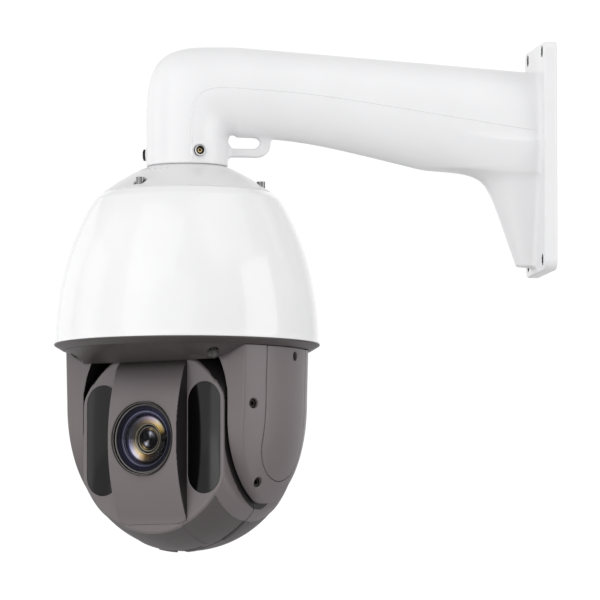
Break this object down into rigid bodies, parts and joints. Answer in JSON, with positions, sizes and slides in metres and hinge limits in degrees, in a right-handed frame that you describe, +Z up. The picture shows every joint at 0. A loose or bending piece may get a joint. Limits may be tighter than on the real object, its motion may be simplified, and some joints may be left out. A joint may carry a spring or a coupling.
{
  "type": "pan and tilt dome camera on a wall arm",
  "caption": "Outdoor pan and tilt dome camera with a zoom lens between infrared windows, hung from a long cast wall arm.",
  "frame": {"origin": "centre of the wall plate's back face, the face that meets the wall", "axes": "+Z up, the arm reaches out from the wall along -Y, +X is the side that the lens faces at rest, +Y points into the wall"},
  "size_m": [0.2204, 0.4142, 0.4271],
  "materials": {
    "white_paint": "satin",
    "collar_screw": "satin",
    "cast_metal": "matte",
    "seal_rubber": "matte",
    "steel": "polished",
    "trim_grey": "satin",
    "motor_black": "satin",
    "motor_can": "satin",
    "brass": "polished",
    "circuit_board": "satin",
    "connector_cream": "satin",
    "heat_sink": "satin",
    "gear_white": "satin",
    "slip_ring_grey": "satin",
    "head_grey": "satin",
    "dark_screw": "satin",
    "ir_window": "gloss",
    "lamp_lens": "gloss",
    "barrel_black": "satin",
    "lens_glass": "gloss",
    "lens_cell": "satin",
    "filter_glass": "gloss"
  },
  "bodies": {
    "mount_body": {"bracket_arm": "white_paint", "collar_screws": "collar_screw", "mount_adapter": "cast_metal", "cable_grommet": "seal_rubber", "top_cap": "white_paint", "cap_screws": "steel", "cap_seal": "seal_rubber", "upper_shell": "white_paint", "trim_ring": "trim_grey", "chassis_plate": "cast_metal", "chassis_screws": "steel", "pan_bearing_outer_race": "steel", "pan_bearing_balls": "steel", "pan_motor": "motor_black", "board_standoffs": "brass", "main_board": "circuit_board", "board_connectors": "connector_cream", "slip_ring_stator": "motor_black", "processor_heat_sink": "heat_sink", "fan_frame": "motor_black", "power_board": "circuit_board"},
    "pan_head": {"pan_base": "trim_grey", "pan_hub": "cast_metal", "pan_gear": "gear_white", "pan_bearing_inner_race": "steel", "slip_ring_rotor": "slip_ring_grey", "yoke_right": "head_grey", "yoke_left": "head_grey", "yoke_cover_right": "head_grey", "yoke_cover_left": "head_grey", "yoke_screws": "dark_screw", "visor_screws": "dark_screw", "tilt_motor": "motor_can", "tilt_bearings": "steel"},
    "pan_spindle": {"pan_pinion": "brass"},
    "fan_wheel": {"fan_rotor": "slip_ring_grey"},
    "tilt_spindle": {"tilt_pinion": "brass"},
    "camera_head": {"front_shell": "head_grey", "lens_column": "head_grey", "rear_shell": "head_grey", "shell_seal": "seal_rubber", "housing_screws": "steel", "ir_window_right": "ir_window", "ir_window_left": "ir_window", "ir_boards": "circuit_board", "ir_lamps": "lamp_lens", "lens_bezel": "head_grey", "lens_barrel": "barrel_black", "front_element": "lens_glass", "guide_rods": "steel", "camera_cradle": "cast_metal", "sensor_board": "circuit_board", "trunnion_right": "steel", "trunnion_left": "steel", "tilt_gear": "gear_white"},
    "zoom_carriage": {"zoom_group": "lens_cell"},
    "focus_carriage": {"focus_group": "lens_cell"},
    "filter_slide": {"ir_cut_filter": "filter_glass"}
  },
  "joints": [
    {"name": "pan", "type": "hinge", "parent": "mount_body", "child": "pan_head", "pos_m": [0, -0.304, -0.159], "axis": [0, 0, 1], "continuous": true},
    {"name": "pan_pinion_spin", "type": "hinge", "parent": "mount_body", "child": "pan_spindle", "pos_m": [-0.04556, -0.26481, -0.14], "axis": [0, 0, 1], "continuous": true},
    {"name": "tilt", "type": "hinge", "parent": "pan_head", "child": "camera_head", "pos_m": [0, -0.304, -0.239], "axis": [0.6521, 0.7581, 0], "range_deg": [-15, 90]},
    {"name": "tilt_pinion_spin", "type": "hinge", "parent": "pan_head", "child": "tilt_spindle", "pos_m": [0, -0.304, -0.2109], "axis": [0.6521, 0.7581, 0], "range_deg": [-271, 46]},
    {"name": "fan_spin", "type": "hinge", "parent": "mount_body", "child": "fan_wheel", "pos_m": [0.02608, -0.27368, -0.078], "axis": [0, 0, 1], "continuous": true},
    {"name": "zoom_slide", "type": "slide", "parent": "camera_head", "child": "zoom_carriage", "axis": [0.7581, -0.6521, 0], "range_m": [-0.007, 0.007]},
    {"name": "focus_slide", "type": "slide", "parent": "camera_head", "child": "focus_carriage", "axis": [0.7581, -0.6521, 0], "range_m": [-0.006, 0.004]},
    {"name": "filter_slide", "type": "slide", "parent": "camera_head", "child": "filter_slide", "axis": [0.6521, 0.7581, 0], "range_m": [0, 0.014]}
  ],
  "couplings": [
    {"joint": "pan_pinion_spin", "follows": "pan", "ratio": -4},
    {"joint": "tilt_pinion_spin", "follows": "tilt", "ratio": -3}
  ]
}
